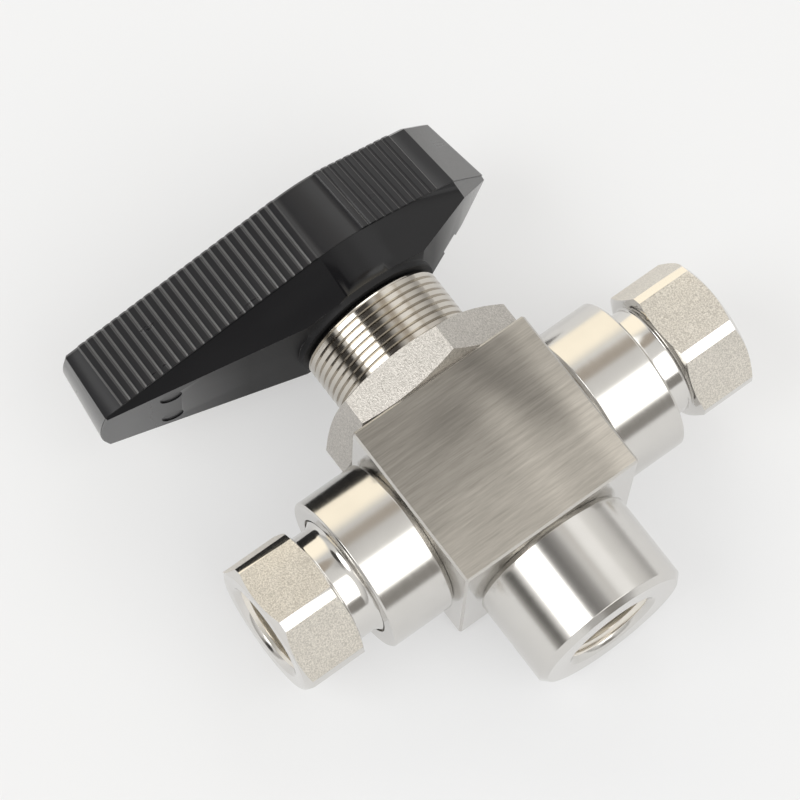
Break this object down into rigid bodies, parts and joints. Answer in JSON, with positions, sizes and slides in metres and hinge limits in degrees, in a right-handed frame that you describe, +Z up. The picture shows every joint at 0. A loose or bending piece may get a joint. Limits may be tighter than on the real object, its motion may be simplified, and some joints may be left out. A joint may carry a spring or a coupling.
{
  "type": "three-way ball valve",
  "caption": "Panel-mounted three-way ball valve: square steel block, two hexagonal side ports, a round common port below and a long ribbed lever handle on a threaded neck.",
  "frame": {"origin": "centre of the bottom port's mouth, on the stem's axis; the thread of that port starts 0.6 mm above it", "axes": "+Z up the stem towards the handle, +X towards the right port, +Y towards the back; at rest the handle's long arm points to -X"},
  "size_m": [0.103, 0.0414, 0.0985],
  "materials": {
    "brushed_block": "stainless bar, brushed along its length",
    "turned_steel": "stainless, bright turned",
    "hexagon_steel": "stainless, milled flats with a fine blasted grain",
    "blasted_steel": "stainless, bead blasted",
    "polished_ball": "stainless, polished",
    "inner_steel": "stainless, turned",
    "spring_steel": "spring steel",
    "insert_metal": "pressed and sintered metal",
    "black_screw": "blackened",
    "seat_plastic": "tan bearing plastic",
    "packing_plastic": "white packing plastic",
    "seal_rubber": "black rubber",
    "handle_nylon": "black moulded nylon, satin"
  },
  "bodies": {
    "valve": {"valve_block": "brushed_block", "left_collar": "turned_steel", "right_collar": "turned_steel", "left_connector": "hexagon_steel", "right_connector": "hexagon_steel", "bottom_connector": "turned_steel", "packing_bolt": "turned_steel", "left_seat": "seat_plastic", "right_seat": "seat_plastic", "left_seat_carrier": "inner_steel", "right_seat_carrier": "inner_steel", "left_seat_springs": "spring_steel", "right_seat_springs": "spring_steel", "left_carrier_seal": "seal_rubber", "right_carrier_seal": "seal_rubber", "left_face_seal": "seal_rubber", "right_face_seal": "seal_rubber", "bottom_seal": "seal_rubber", "lower_bearing": "seat_plastic", "thrust_bearing": "seat_plastic", "lower_packing": "packing_plastic", "upper_packing": "packing_plastic", "gland": "inner_steel", "packing_springs": "spring_steel", "stop_pin": "inner_steel"},
    "handle": {"handle": "handle_nylon", "handle_insert": "insert_metal", "handle_set_screw": "black_screw", "trunnion_ball": "polished_ball"},
    "panel_nut": {"panel_nut": "blasted_steel"}
  },
  "joints": [
    {"name": "handle_turn", "type": "hinge", "parent": "valve", "child": "handle", "pos_m": [0, 0, 0.0737], "axis": [0, 0, 1], "range_deg": [0, 180]},
    {"name": "nut_travel", "type": "slide", "parent": "valve", "child": "panel_nut", "axis": [0, 0, 1], "range_m": [0, 0.013]}
  ]
}
